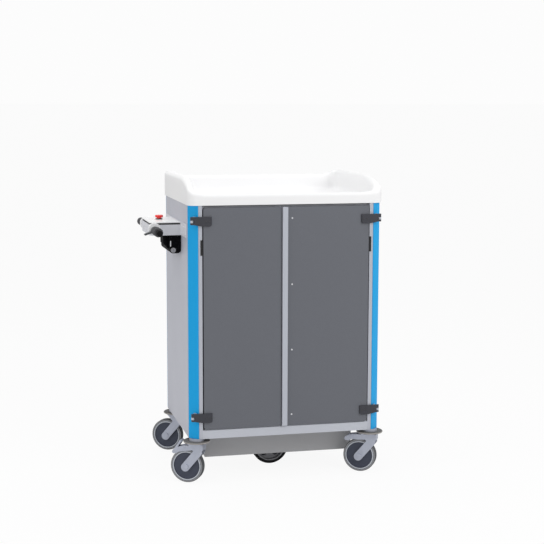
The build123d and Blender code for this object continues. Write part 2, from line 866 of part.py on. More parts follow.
def drive_rim():
    """The hub and rim of the drive wheel, with round windows in its web."""
    half = drive_width / 2
    outer = drive_radius - drive_tyre_thickness
    rim = rod_y(drive_x, drive_y - half, drive_y + half, drive_radius, outer)
    web = drive_rim_web / 2
    inner = outer - housing_wall * 2
    for y0, y1 in ((drive_y - half, drive_y - web), (drive_y + web, drive_y + half)):
        rim -= rod_y(drive_x, y0, y1, drive_radius, inner)
    hub = half + drive_arm_gap - 1.0
    rim += rod_y(drive_x, drive_y - hub, drive_y + hub, drive_radius, drive_hub_radius)
    ring = (inner + drive_hub_radius) / 2
    for i in range(drive_window_count):
        angle = radians(90 + 360 / drive_window_count * i)
        rim -= rod_y(drive_x + ring * cos(angle), drive_y - half, drive_y + half,
                     drive_radius + ring * sin(angle), drive_window_radius)
    return rim - rod_y(drive_x, drive_y - hub, drive_y + hub, drive_radius,
                       drive_axle_radius + drive_axle_fit)


def battery_pack():
    """The battery box, hung under the floor panel."""
    length, width, height = battery_size
    outline = Pos(battery_x, 0) * RectangleRounded(length, width, battery_corner_radius)
    return extrude(Plane.XY.offset(floor_bottom - height) * outline, height)


save("drive_housing", drive_housing())
save("drive_arm", drive_arm())
save("drive_bracket", *drive_bracket())
save("drive_rim", drive_rim())
half_drive = drive_width / 2
save("drive_tyre", ring_tyre(drive_x, drive_y - half_drive, drive_y + half_drive, drive_radius, drive_radius,
                             drive_tyre_thickness))
save("battery_pack", battery_pack())


# Push handle

def console_box(inset, bottom, top):
    """The console's plan, upright, with its two outer corners rounded."""
    half = console_half_width - inset
    box = block(-console_outer + inset, -console_inner, -half, half, bottom, top)
    outer_edges = box.edges().filter_by(Axis.Z).sort_by(Axis.X)[:2]
    return fillet(outer_edges, console_corner_radius - inset)


def handle_bracket():
    """The plate on the side panel, with its bolt heads as separate solids."""
    half = inner_y + bracket_overlap
    bracket_bottom = console_bottom + bracket_lift
    top = bracket_bottom + bracket_height
    solids = [block(-console_inner, -side, -half, half, bracket_bottom, top)]
    reach = half - bracket_bolt_inset
    for y in (-reach, reach):
        for z in (bracket_bottom + bracket_height / 4, top - bracket_height / 4):
            plane = Plane(origin=(-console_inner, y, z), z_dir=(-1, 0, 0))
            solids.append(extrude(plane * Circle(bracket_bolt_radius), bracket_bolt_head))
    return solids


bar_end = bar_half_length + end_grip_cap


def handle_console():
    """An open-topped box that the push bar passes through."""
    console = console_box(0, console_bottom, console_top)
    wall = console_wall
    console -= block(-console_outer + wall, -console_inner - wall, -console_half_width + wall,
                     console_half_width - wall, console_bottom + wall, console_top)
    return console - rod_y(-bar_side, -console_half_width, console_half_width, bar_z,
                           bar_radius + bar_fit)


def console_cover():
    """The top cover, with a hole for the button's stem."""
    cover = console_box(0, seal_top, cover_top)
    top_edges = cover.faces().sort_by(Axis.Z)[-1].edges()
    cover = fillet(top_edges, cover_edge_radius)
    return cover - rod_z(-button_side, 0, seal_top, cover_top, button_stem_radius + button_fit)


def emergency_button():
    """A mushroom head on a stem that slides in the cover."""
    base_top = cover_top + button_base_height
    head_bottom = base_top + button_travel_gap
    head = rod_z(-button_side, 0, head_bottom, head_bottom + button_head_height, button_radius)
    head = fillet(head.edges().filter_by(GeomType.CIRCLE), button_edge_radius)
    return head + rod_z(-button_side, 0, seal_top + button_travel_gap, head_bottom + 1.0,
                        button_stem_radius)


def button_base():
    """The ring round the button's stem."""
    base = rod_z(-button_side, 0, cover_top, cover_top + button_base_height, button_base_radius)
    return base - rod_z(-button_side, 0, cover_top, cover_top + button_base_height,
                        button_stem_radius + button_fit)


def bar_sleeve(sy, start, length, radius):
    """A sleeve on one arm of the push bar."""
    y0, y1 = sorted((sy * start, sy * (start + length)))
    return rod_y(-bar_side, y0, y1, bar_z, radius) - rod_y(-bar_side, y0, y1, bar_z,
                                                           bar_radius + grip_bore_gap)


def mount_collar(sy):
    """The block at each end of the console that the push bar runs through."""
    y0, y1 = sorted((sy * console_half_width, sy * (console_half_width + collar_length)))
    outline = Pos(-bar_side, bar_z + collar_lift) * RectangleRounded(collar_size, collar_size, collar_corner)
    collar = side_plate(outline, y0, collar_length)
    return collar - rod_y(-bar_side, y0, y1, bar_z, bar_radius + grip_bore_gap)


def ribbed_grip(sy, start, radius):
    """A short drum with grooves round it."""
    grip = bar_sleeve(sy, start, grip_length, radius)
    pitch = grip_length / grip_rib_count
    for i in range(1, grip_rib_count):
        middle = sy * (start + pitch * i)
        y0 = middle - pitch / 6
        y1 = middle + pitch / 6
        groove = rod_y(-bar_side, y0, y1, bar_z, radius)
        grip -= groove - rod_y(-bar_side, y0, y1, bar_z, radius - grip_rib_depth)
    return grip


def end_grip():
    """A slim sleeve with a closed, rounded end, on the front arm."""
    start = grip_start + grip_length
    grip = rod_y(-bar_side, -bar_end, -start, bar_z, end_grip_radius)
    grip = fillet(grip.edges().filter_by(GeomType.CIRCLE).sort_by(Axis.Y)[0], end_grip_round)
    return grip - rod_y(-bar_side, -bar_half_length, -start, bar_z, bar_radius + grip_bore_gap)


def end_cap():
    """The closed cap behind the rear drum, over the end of the bar."""
    cap = rod_y(-bar_side, bar_half_length, bar_end, bar_z, rear_grip_radius)
    return fillet(cap.edges().filter_by(GeomType.CIRCLE).sort_by(Axis.Y)[-1], end_grip_round)


def speed_paddle():
    """The thumb lever that turns on the bar beside the front collar."""
    y1 = -console_half_width - collar_length - paddle_gap
    y0 = y1 - paddle_width
    hub = rod_y(-bar_side, y0, y1, bar_z, paddle_hub_radius)
    half = paddle_thickness / 2
    blade = block(-paddle_reach, 0, y0, y1, -half, half)
    blade = fillet(blade.edges().filter_by(Axis.Y).sort_by(Axis.X)[:2], half * 0.8)
    hub += Pos(-bar_side, 0, bar_z) * Rot(0, -paddle_droop, 0) * blade
    return hub - rod_y(-bar_side, y0, y1, bar_z, bar_radius + paddle_fit)


save("handle_bracket", *handle_bracket())
save("handle_console", handle_console())
save("console_seal", console_box(seal_inset, console_top, seal_top))
save("console_cover", console_cover())
save("emergency_button", emergency_button())
save("button_base", button_base())
save("push_bar", rod_y(-bar_side, -bar_half_length, bar_half_length, bar_z, bar_radius))
save("bar_collars", *[mount_collar(sy) for sy in (-1, 1)])
rear_grip_start = bar_half_length - grip_length
save("bar_grips", ribbed_grip(-1, grip_start, grip_radius), ribbed_grip(1, rear_grip_start, rear_grip_radius),
     end_grip(), end_cap())
save("speed_paddle", speed_paddle())


# Control box under the console, with a key switch in its front cheek

control_bottom = console_bottom - control_depth
control_front = -console_half_width
key_x = -(side + control_front_reach - control_corner_radius)
key_z = control_bottom + control_corner_radius


def control_box():
    """A sloped middle section and a narrower back plate as long as the console."""
    cheek = block(-side - control_front_reach, -side, control_front, -control_front,
                  control_bottom, console_bottom)
    bottom_edges = cheek.edges().filter_by(Axis.Y).sort_by(Axis.Z)[:2].sort_by(Axis.X)
    cheek = fillet(bottom_edges[0], control_corner_radius)
    wall_edge = cheek.edges().filter_by(Axis.Y).sort_by(Axis.Z)[:2].sort_by(Axis.X)[-1]
    cheek = fillet(wall_edge, control_wall_radius)
    corner_edges = cheek.edges().filter_by(Axis.Z).sort_by(Axis.X)[:2]
    cheek = fillet(corner_edges, control_edge_radius)
    outline = [
        (-side, console_bottom), (-side - control_reach, console_bottom),
        (-side - control_reach, console_bottom - control_slope),
        (-side - control_front_reach, control_bottom + control_wall_radius),
        (-side, control_bottom + control_wall_radius),
    ]
    middle = side_plate(make_face(Polyline(*outline, close=True)), control_front + control_step,
                        control_middle_length)
    corner_edges = middle.edges().filter_by(Axis.Z).sort_by(Axis.X)[:2]
    middle = fillet(corner_edges, control_corner_radius)
    box = cheek + middle
    return box - rod_y(key_x, control_front, control_front + key_depth, key_z, key_radius + key_fit)


def key_switch():
    """A turning lock barrel with a rim and a key slot."""
    face = control_front - key_proud
    barrel = rod_y(key_x, control_front - key_proud, control_front + key_depth - 1.0, key_z, key_radius)
    barrel += rod_y(key_x, face, control_front - 0.3, key_z, key_radius + key_rim)
    width, height, depth = key_slot
    return barrel - block(key_x - width / 2, key_x + width / 2, face, face + depth,
                          key_z - height / 2, key_z + height / 2)


save("control_box", control_box())
save("key_switch", key_switch())
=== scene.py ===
"""Looks of the linen distribution cart: finishes for its solids, modelled details, studio and camera.

Metres, Z up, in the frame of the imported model: the doors face -Y and the push handle stands out on -X.
"""

import json
import math

import bmesh
import bpy
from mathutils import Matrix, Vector


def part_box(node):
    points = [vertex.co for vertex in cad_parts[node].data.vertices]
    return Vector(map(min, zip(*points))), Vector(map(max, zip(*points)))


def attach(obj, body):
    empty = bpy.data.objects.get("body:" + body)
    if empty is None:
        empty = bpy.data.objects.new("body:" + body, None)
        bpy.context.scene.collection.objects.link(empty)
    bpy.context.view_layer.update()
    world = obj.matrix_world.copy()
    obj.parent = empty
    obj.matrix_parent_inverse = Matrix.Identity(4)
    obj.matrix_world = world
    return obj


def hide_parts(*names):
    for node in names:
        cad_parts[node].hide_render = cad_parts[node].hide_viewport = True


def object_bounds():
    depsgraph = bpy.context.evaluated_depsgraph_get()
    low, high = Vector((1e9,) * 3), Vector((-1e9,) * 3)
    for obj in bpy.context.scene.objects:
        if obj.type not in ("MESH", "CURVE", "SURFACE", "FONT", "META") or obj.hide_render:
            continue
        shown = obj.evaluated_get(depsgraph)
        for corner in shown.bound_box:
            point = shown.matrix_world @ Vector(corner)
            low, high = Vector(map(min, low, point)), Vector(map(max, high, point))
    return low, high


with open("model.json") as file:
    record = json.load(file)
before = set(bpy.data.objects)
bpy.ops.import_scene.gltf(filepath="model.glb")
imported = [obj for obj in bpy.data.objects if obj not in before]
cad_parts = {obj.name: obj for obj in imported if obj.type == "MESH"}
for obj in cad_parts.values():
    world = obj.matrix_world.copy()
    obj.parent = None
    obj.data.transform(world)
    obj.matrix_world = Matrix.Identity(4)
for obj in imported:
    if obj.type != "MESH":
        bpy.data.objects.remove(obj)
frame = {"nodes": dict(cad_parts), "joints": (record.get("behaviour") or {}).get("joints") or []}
cad_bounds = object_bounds()
nodes = frame["nodes"]
joints = {joint["name"]: joint for joint in frame["joints"]}
corners = ("front_left", "front_right", "rear_left", "rear_right")
bpy.ops.object.select_all(action="DESELECT")


def middle_of(node):
    """The middle of a CAD node's box."""
    low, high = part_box(node)
    return (low + high) / 2


# Materials: a wrapped socket does maths in Python expressions

class Wire:
    """A shader socket that takes part in Python expressions."""

    def __init__(self, wiring, socket):
        self.wiring = wiring
        self.socket = socket

    def maths(self, operation, first, second):
        return self.wiring.node("ShaderNodeMath", {"operation": operation}, {0: first, 1: second})

    def __add__(self, other):
        return self.maths("ADD", self, other)

    def __radd__(self, other):
        return self.maths("ADD", other, self)

    def __sub__(self, other):
        return self.maths("SUBTRACT", self, other)

    def __rsub__(self, other):
        return self.maths("SUBTRACT", other, self)

    def __mul__(self, other):
        return self.maths("MULTIPLY", self, other)

    def __rmul__(self, other):
        return self.maths("MULTIPLY", other, self)


class Wiring:
    """A node tree, to which each node is added, set up and wired in one call."""

    def __init__(self, tree):
        self.tree = tree

    def node(self, kind, settings=None, values=None, output=0):
        """Adds a node, sets it up, feeds its sockets with values or wires, and returns one of its outputs."""
        new = self.tree.nodes.new(kind)
        for key, value in (settings or {}).items():
            setattr(new, key, value)
        for key, value in (values or {}).items():
            self.join(value, new.inputs[key])
        return Wire(self, new.outputs[output])

    def join(self, value, socket):
        """Gives a socket a plain value or a wire."""
        if isinstance(value, Wire):
            self.tree.links.new(value.socket, socket)
        else:
            socket.default_value = value


class Finish(Wiring):
    """One material: plain values go on the surface's own sockets, and what varies is wired to them."""

    def __init__(self, name, colour, roughness, metallic=0.0, coat=0.0, specular=0.5):
        self.material = bpy.data.materials.new(name)
        self.material.use_nodes = True
        super().__init__(self.material.node_tree)
        self.surface = self.tree.nodes["Principled BSDF"]
        self.colour = (*colour, 1.0)
        plain = {"Base Color": self.colour, "Roughness": roughness, "Metallic": metallic,
                 "Coat Weight": coat, "Specular IOR Level": specular}
        for socket, value in plain.items():
            self.feed(socket, value)
        self.place = self.node("ShaderNodeTexCoord", output="Object")

    def feed(self, socket, value):
        """Gives one of the surface's sockets a plain value or a wire."""
        self.join(value, self.surface.inputs[socket])

    def part_of_place(self, axis):
        """The object coordinate along one axis: 0 is X, 1 is Y and 2 is Z."""
        return self.node("ShaderNodeSeparateXYZ", None, {"Vector": self.place}, output=axis)

    def stretched(self, x, y, z):
        """Object coordinates scaled along each axis, in patterns per metre."""
        return self.node("ShaderNodeMapping", None, {"Vector": self.place, "Scale": (x, y, z)})

    def noise(self, place, scale=1.0, detail=3.0, roughness=0.55):
        """Smooth noise from 0 to 1."""
        return self.node("ShaderNodeTexNoise", None, {
            "Vector": place, "Scale": scale, "Detail": detail, "Roughness": roughness})

    def mask(self, wire, low, high):
        """0 below low and 1 above high."""
        return self.node("ShaderNodeMapRange", {"clamp": True}, {
            "Value": wire, "From Min": low, "From Max": high})

    def tint(self, mask, tone):
        """Blends the base colour towards another tone by a mask, on top of what is wired already."""
        base = self.surface.inputs["Base Color"]
        below = Wire(self, base.links[0].from_socket) if base.links else self.colour
        factor, colour_below, colour_above, mixed_colour = 0, 6, 7, 2
        mixed = self.node("ShaderNodeMix", {"data_type": "RGBA"}, {
            factor: mask, colour_below: below, colour_above: (*tone, 1.0)}, output=mixed_colour)
        self.feed("Base Color", mixed)

    def bump(self, height, depth, strength=1.0):
        """Relief of a real depth in metres."""
        self.feed("Normal", self.node("ShaderNodeBump", None, {
            "Strength": strength, "Distance": depth, "Height": height}))

    def dust(self, tone, amount, scale=22.0, low=0.48):
        """A cloudy bloom in another tone. Returns its noise, for what else follows it."""
        cloud = self.noise(self.place, scale, detail=6.0)
        self.tint(self.mask(cloud, low, high=0.75) * amount, tone)
        return cloud

    def rubber_grain(self):
        """The fine relief of moulded rubber."""
        self.bump(self.noise(self.place, scale=1400.0, detail=2.0), depth=0.00006)


def shade(colour, factor):
    """A colour made lighter or darker."""
    return tuple(min(1.0, channel * factor) for channel in colour)


def moulded(name, colour, roughness, grain=900.0, depth=0.00008, mottle=0.10, coat=0.0, specular=0.5,
            speckle=0.0):
    """Injection-moulded or laminated plastic: a fine grain, a faint mottle and handling marks."""
    finish = Finish(name, colour, roughness, coat=coat, specular=specular)
    broad = finish.noise(finish.place, scale=3.5, detail=4.0)
    smears = finish.noise(finish.stretched(40.0, 40.0, 9.0), detail=5.0)
    marks = finish.mask(smears, low=0.62, high=0.80)
    finish.tint(finish.mask(broad, low=0.30, high=0.75) * mottle, shade(colour, 0.80))
    finish.tint(marks * 0.12, shade(colour, 1.18))
    if speckle:
        flecks = finish.noise(finish.place, scale=240.0, detail=2.0)
        finish.tint(finish.mask(flecks, low=0.40, high=0.66) * speckle, shade(colour, 0.70))
    finish.feed("Roughness", roughness + (broad - 0.5) * 0.16 + marks * 0.08)
    finish.bump(finish.noise(finish.place, scale=grain, detail=2.0), depth)
    return finish.material


def drawn_metal(name, colour, roughness, metallic, along=(1.0, 1.0, 0.02), pitch=700.0):
    """Extruded or brushed metal with fine lines along one axis."""
    finish = Finish(name, colour, roughness, metallic=metallic)
    lines = finish.noise(finish.stretched(*[pitch * share for share in along]), detail=3.0)
    broad = finish.noise(finish.place, scale=5.0, detail=3.0)
    finish.tint(finish.mask(lines, low=0.35, high=0.70) * 0.16, shade(colour, 0.72))
    finish.tint(finish.mask(broad, low=0.50, high=0.80) * 0.10, shade(colour, 1.15))
    finish.feed("Roughness", roughness + (lines - 0.5) * 0.20 + (broad - 0.5) * 0.10)
    finish.bump(lines, depth=0.00003, strength=0.6)
    return finish.material


def zinc(name, colour, roughness=0.42, metallic=0.55):
    """Zinc plated pressings with a cloudy sheen."""
    finish = Finish(name, colour, roughness, metallic=metallic)
    clouds = finish.noise(finish.place, scale=26.0, detail=5.0)
    finish.tint(finish.mask(clouds, low=0.35, high=0.70) * 0.35, shade(colour, 0.70))
    finish.feed("Roughness", roughness + (clouds - 0.5) * 0.30)
    finish.bump(finish.noise(finish.place, scale=600.0, detail=2.0), depth=0.00003)
    return finish.material


def rubber(name, colour, roughness=0.78):
    """Dull rubber with a dusty bloom."""
    finish = Finish(name, colour, roughness, specular=0.35)
    dust = finish.dust(shade(colour, 1.9), amount=0.30)
    finish.feed("Roughness", roughness + (dust - 0.5) * 0.20)
    finish.rubber_grain()
    return finish.material


def bumper_finish():
    """Taupe rubber with a dusty bloom and a painted shade on its top, where the post and rail above shade it.
    """
    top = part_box("bumper_discs")[1].z
    painted_top_shade_from, painted_top_shade_full = top - 0.0022, top - 0.0008
    finish = Finish("bumper_taupe", (0.36, 0.34, 0.32), 0.62, specular=0.35)
    finish.dust((0.20, 0.19, 0.18), amount=0.25, scale=30.0, low=0.45)
    # Painted shade: the disc's top is darkened where the post and rail above shade it.
    finish.tint(finish.mask(finish.part_of_place(2), painted_top_shade_from, painted_top_shade_full), (0.13, 0.125, 0.12))
    finish.rubber_grain()
    return finish.material


def grip_finish():
    """Grey rubber on the drums with lighter streaks, partly wear and partly painted highlights along the
    ribs, and black on the slim front end.
    """
    slim_length, step = 0.044, 0.002
    drum_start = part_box("bar_grips")[0].y + slim_length
    finish = Finish("grip_grey", (0.085, 0.085, 0.092), 0.70, specular=0.12)
    rib_highlights_and_wear = finish.noise(finish.stretched(60.0, 400.0, 60.0), detail=4.0)
    # Lighter streaks on the drums: partly wear, partly painted highlights along the ribs.
    finish.tint(finish.mask(rib_highlights_and_wear, low=0.45, high=0.70) * 0.45, (0.20, 0.20, 0.21))
    drums = finish.mask(finish.part_of_place(1), drum_start - step, drum_start)
    finish.tint(1 - drums, (0.006, 0.006, 0.007))
    finish.rubber_grain()
    return finish.material


def tyre_finish(corner):
    """Grey tyre rubber with a painted shade on the tread's rounded outer edge, told by its distance from the
    wheel's middle.
    """
    tyre = f"wheel_tyre_{corner}"
    low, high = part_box(tyre)
    radius = (high.z - low.z) / 2
    painted_shade_from, painted_shade_full = radius - 0.0014, radius + 0.0002
    finish = Finish(f"tyre_{corner}", (0.270, 0.273, 0.286), 0.78, specular=0.35)
    reach = finish.node("ShaderNodeVectorMath", {"operation": "DISTANCE"},
                        {0: finish.place, 1: middle_of(tyre)}, output=1)
    finish.dust((0.31, 0.31, 0.32), amount=0.25)
    # Painted shade: the tread's rounded outer edge is darkened, standing in for the rounding's own shadow.
    finish.tint(finish.mask(reach, painted_shade_from, painted_shade_full) * 0.85, (0.045, 0.048, 0.052))
    finish.rubber_grain()
    return finish.material


aluminium = drawn_metal("anodised_aluminium", (0.50, 0.52, 0.58), 0.42, 0.30)
rail_aluminium = drawn_metal("anodised_rail", (0.55, 0.57, 0.625), 0.42, 0.30, along=(0.02, 1.0, 1.0))
strip_blue = moulded("strip_blue", (0.004, 0.385, 0.810), 0.42, mottle=0.04, specular=0.22)
panel_grey = moulded("panel_grey", (0.535, 0.545, 0.605), 0.48, speckle=0.05)
door_grey = moulded("door_grey", (0.129, 0.136, 0.157), 0.46, speckle=0.16)
board_grey = moulded("board_grey", (0.45, 0.46, 0.50), 0.5)
shelf_steel = drawn_metal("shelf_steel", (0.55, 0.55, 0.56), 0.32, 0.9, along=(0.02, 1.0, 1.0))
tray_white = moulded("tray_white", (0.93, 0.93, 0.935), 0.38, grain=600.0, depth=0.00012, mottle=0.04)
hinge_charcoal = moulded("hinge_charcoal", (0.031, 0.032, 0.042), 0.45, mottle=0.24)
bright_steel = drawn_metal("bright_steel", (0.55, 0.56, 0.58), 0.28, 0.95, along=(1.0, 0.02, 1.0))
rivet_steel = zinc("rivet_steel", (0.80, 0.80, 0.82), 0.30, 0.6)
black_rubber = rubber("black_rubber", (0.02, 0.02, 0.022))
fork_zinc = zinc("fork_zinc", (0.485, 0.512, 0.595))
wheel_grey = moulded("wheel_grey", (0.043, 0.051, 0.080), 0.5, mottle=0.20)
drive_black = rubber("drive_black", (0.008, 0.008, 0.009))
drive_alloy = zinc("drive_alloy", (0.34, 0.34, 0.36), 0.5, 0.3)
ring_alloy = zinc("ring_alloy", (0.55, 0.58, 0.63), 0.38, 0.25)
housing_grey = moulded("housing_grey", (0.45, 0.45, 0.46), 0.5)
console_grey = moulded("console_grey", (0.73, 0.74, 0.785), 0.42)
cover_white = moulded("cover_white", (0.96, 0.965, 0.97), 0.36)
button_red = moulded("button_red", (0.92, 0.025, 0.02), 0.30, depth=0.00002, coat=0.4)
paddle_grey = rubber("paddle_grey", (0.075, 0.08, 0.085), 0.60)
collar_white = moulded("collar_white", (0.96, 0.96, 0.97), 0.36)
control_black = moulded("control_black", (0.002, 0.002, 0.003), 0.60, depth=0.00002, specular=0.06)
screw_black = zinc("screw_black", (0.06, 0.06, 0.065), 0.40, 0.5)
battery_black = moulded("battery_black", (0.03, 0.03, 0.035), 0.55)
key_chrome = drawn_metal("key_chrome", (0.36, 0.36, 0.38), 0.24, 0.9)

finish_of = {
    "corner_strips": strip_blue, "side_panel_left": panel_grey, "side_panel_right": panel_grey,
    "back_panel": board_grey, "floor_panel": board_grey, "roof_panel": board_grey,
    "front_rail": rail_aluminium, "base_rails": rail_aluminium, "centre_divider": board_grey,
    "shelves": shelf_steel, "shelf_runners": aluminium, "top_tray": tray_white,
    "left_door_panel": door_grey, "right_door_panel": door_grey, "centre_profile": aluminium,
    "profile_rivets": rivet_steel, "hinge_blocks": aluminium, "hinge_arms_left": hinge_charcoal,
    "hinge_arms_right": hinge_charcoal, "hinge_pins": bright_steel, "door_buffers": black_rubber,
    "magnetic_catches": hinge_charcoal, "bumper_discs": bumper_finish(), "castor_plates": fork_zinc,
    "drive_housing": housing_grey, "drive_arm": fork_zinc, "drive_bracket": fork_zinc,
    "drive_rim": drive_alloy, "drive_tyre": drive_black, "battery_pack": battery_black,
    "handle_bracket": console_grey, "handle_console": console_grey, "console_seal": black_rubber,
    "console_cover": cover_white, "emergency_button": button_red, "button_base": hinge_charcoal,
    "push_bar": bright_steel, "bar_collars": collar_white, "bar_grips": grip_finish(),
    "speed_paddle": paddle_grey, "control_box": control_black, "key_switch": key_chrome,
    "brake_pedal_front_left": fork_zinc, "brake_pedal_front_right": fork_zinc,
}
for corner in corners:
    finish_of[f"corner_post_{corner}"] = aluminium
    finish_of[f"castor_fork_{corner}"] = fork_zinc
    finish_of[f"wheel_centre_{corner}"] = wheel_grey
    finish_of[f"wheel_tyre_{corner}"] = tyre_finish(corner)


def give_finish(piece, material):
    """Makes a material the piece's only one."""
    piece.data.materials.clear()
    piece.data.materials.append(material)


for name, material in finish_of.items():
    give_finish(nodes[name], material)


# Modelling tools: a primitive is shaped in edit mode, and its place is then written into its mesh

merge_distance = 0.00001


def named(piece, name):
    """Gives a piece and its mesh one name."""
    piece.name = name
    piece.data.name = name
    return piece


def start_piece(name, add, **settings):
    """Adds a primitive, names it and leaves it alone selected."""
    bpy.ops.object.select_all(action="DESELECT")
    add(**settings)
    return named(bpy.context.active_object, name)


def select_only(pieces):
    """Selects these pieces and no other, with the first one active."""
    bpy.ops.object.select_all(action="DESELECT")
    for piece in pieces:
        piece.select_set(True)
    bpy.context.view_layer.objects.active = pieces[0]


def settle(piece):
    """Leaves edit mode and writes the object's place into its mesh."""
    if bpy.context.object.mode == "EDIT":
        bpy.ops.object.mode_set(mode="OBJECT")
    bpy.ops.object.transform_apply(location=True, rotation=True, scale=True)
    return piece


def turned(name, outline, steps):
    """A turned piece at the origin: a closed outline of (radius, height) points, spun about Z."""
    piece = start_piece(name, bpy.ops.mesh.primitive_circle_add, vertices=len(outline), radius=0.01)
    for vertex, (radius, height) in zip(piece.data.vertices, outline):
        vertex.co = (radius, 0.0, height)
    bpy.ops.object.mode_set(mode="EDIT")
    bpy.ops.mesh.select_all(action="SELECT")
    bpy.ops.mesh.spin(steps=steps, angle=2 * math.pi, center=(0, 0, 0), axis=(0, 0, 1))
    bpy.ops.mesh.select_all(action="SELECT")
    bpy.ops.mesh.remove_doubles(threshold=merge_distance)
    bpy.ops.mesh.normals_make_consistent(inside=False)
    return settle(piece)


def copied(model, name):
    """A copy of a model, with its own mesh."""
    piece = model.copy()
    piece.data = model.data.copy()
    bpy.context.scene.collection.objects.link(piece)
    return named(piece, name)


def stood(piece, place, axis):
    """Turns a piece's Z axis to another axis and moves it to its place."""
    select_only([piece])
    piece.rotation_euler = Vector(axis).to_track_quat("Z", "Y").to_euler()
    piece.location = place
    return settle(piece)


def joined(name, parts):
    """Several meshes as one piece."""
    select_only(parts)
    bpy.ops.object.join()
    return named(parts[0], name)


def dressed(piece, material, body, smooth=35.0, replaced=()):
    """Gives a piece its finish, its smooth shading and the body that it rides on."""
    select_only([piece])
    give_finish(piece, material)
    bpy.ops.object.shade_smooth_by_angle(angle=math.radians(smooth))
    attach(piece, body)
    if replaced:
        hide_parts(*replaced)


# Top tray: one moulded shell with rolled rims, which sweep down to a low front lip

tray_wall = 0.038
tray_front_land = 0.024
tray_floor = 0.013
tray_corner_radius = 0.040
tray_cove_radius = 0.026
tray_side_height = 0.121
tray_back_height = 0.098
tray_front_height = 0.051
tray_back_slope = 0.040
tray_front_slope = 0.030
tray_notch_blend = 0.006
tray_shoulder_length = 0.237
tray_shoulder_drop = 0.095
tray_roll_height = 0.017
tray_roll_fullness = 0.85
tray_foot_inset = 0.0015
tray_foot_share = 0.012
straight_steps = 26
bend_steps = 12
roll_steps = 12
cove_steps = 7


def rounded_path(half_x, half_y, radius):
    """Points round a rectangle with rounded corners, anticlockwise from the rear right corner's start."""
    bends = []
    for side_x, side_y, first in ((1, 1, 0), (-1, 1, 90), (-1, -1, 180), (1, -1, 270)):
        for i in range(bend_steps + 1):
            angle = math.radians(first + 90 * i / bend_steps)
            bends.append(Vector((side_x * (half_x - radius) + radius * math.cos(angle),
                                 side_y * (half_y - radius) + radius * math.sin(angle), 0)))
    path = []
    for i, point in enumerate(bends):
        path.append(point)
        if i % (bend_steps + 1) == bend_steps:
            following = bends[(i + 1) % len(bends)]
            path.extend(point.lerp(following, j / straight_steps) for j in range(1, straight_steps))
    return path


def soft_lower(first, second, blend):
    """The lower of two heights, with the corner between them rounded."""
    share = max(0.0, min(1.0, 0.5 + (second - first) / (2 * blend)))
    return second * (1 - share) + first * share - blend * share * (1 - share)


def tray_rim_height(x, y, half_x, half_y):
    """The height of the rim's crest above the tray's foot: high sides, a rear notch and the front lip."""
    run = y + half_y
    height = tray_side_height
    if run < tray_shoulder_length:
        fall = 1 - ((tray_shoulder_length - max(0.0, run)) / tray_shoulder_length) ** 2
        height = tray_side_height - tray_shoulder_drop * (1 - math.sqrt(max(0.0, fall)))
    reach = half_x - tray_wall
    low, slope = (tray_front_height, tray_front_slope) if y < 0 else (tray_back_height, tray_back_slope)
    if abs(x) < reach:
        notch = low + max(0.0, abs(x) - reach + slope) / slope * (tray_side_height - low)
        height = soft_lower(height, notch, tray_notch_blend)
    return height


def tray_rings(half_x, half_y):
    """Rings of points from the foot up the outside, over the rolled rim and down the inside to the floor."""
    inner_x = half_x - tray_wall
    inner_y = half_y - (tray_wall + tray_front_land) / 2
    floor_x = inner_x - tray_cove_radius
    floor_y = inner_y - tray_cove_radius
    shift = Vector((0, (tray_front_land - tray_wall) / 2, 0))
    outer = rounded_path(half_x, half_y, tray_corner_radius)
    inner = [point + shift for point in rounded_path(inner_x, inner_y, tray_corner_radius)]
    floor = [point + shift for point in rounded_path(floor_x, floor_y, tray_corner_radius - tray_cove_radius)]
    crest = [(a + b) / 2 for a, b in zip(outer, inner)]
    rises = [tray_rim_height(point.x, point.y, half_x, half_y) - tray_roll_height for point in crest]
    cove_top = tray_floor + tray_cove_radius

    rings = []
    for share, inset in ((0.0, tray_foot_inset), (tray_foot_share, 0.0), (0.4, 0.0), (0.8, 0.0), (1.0, 0.0)):
        rings.append([Vector((a.x * (1 - inset / half_x), a.y * (1 - inset / half_y), rise * share))
                      for a, rise in zip(outer, rises)])
    for i in range(1, roll_steps + 1):
        turn = math.pi * i / roll_steps
        across = (1 - math.cos(turn)) / 2
        lift = tray_roll_height * math.sin(turn) ** tray_roll_fullness
        rings.append([a.lerp(b, across) + Vector((0, 0, rise + lift))
                      for a, b, rise in zip(outer, inner, rises)])
    for share in (0.5, 1.0):
        rings.append([b + Vector((0, 0, rise * (1 - share) + cove_top * share))
                      for b, rise in zip(inner, rises)])
    for i in range(1, cove_steps + 1):
        turn = math.radians(90 * i / cove_steps)
        height = tray_floor + tray_cove_radius * (1 - math.sin(turn))
        rings.append([b.lerp(c, 1 - math.cos(turn)) + Vector((0, 0, height))
                      for b, c in zip(inner, floor)])
    return rings


def select_open_edges(piece):
    """In edit mode, selects only the edges where the surface is still open."""
    cage = bmesh.from_edit_mesh(piece.data)
    bpy.ops.mesh.select_all(action="DESELECT")
    bpy.context.tool_settings.mesh_select_mode = (False, True, False)
    for edge in cage.edges:
        edge.select_set(edge.is_boundary)
    cage.select_flush_mode()
    bmesh.update_edit_mesh(piece.data)


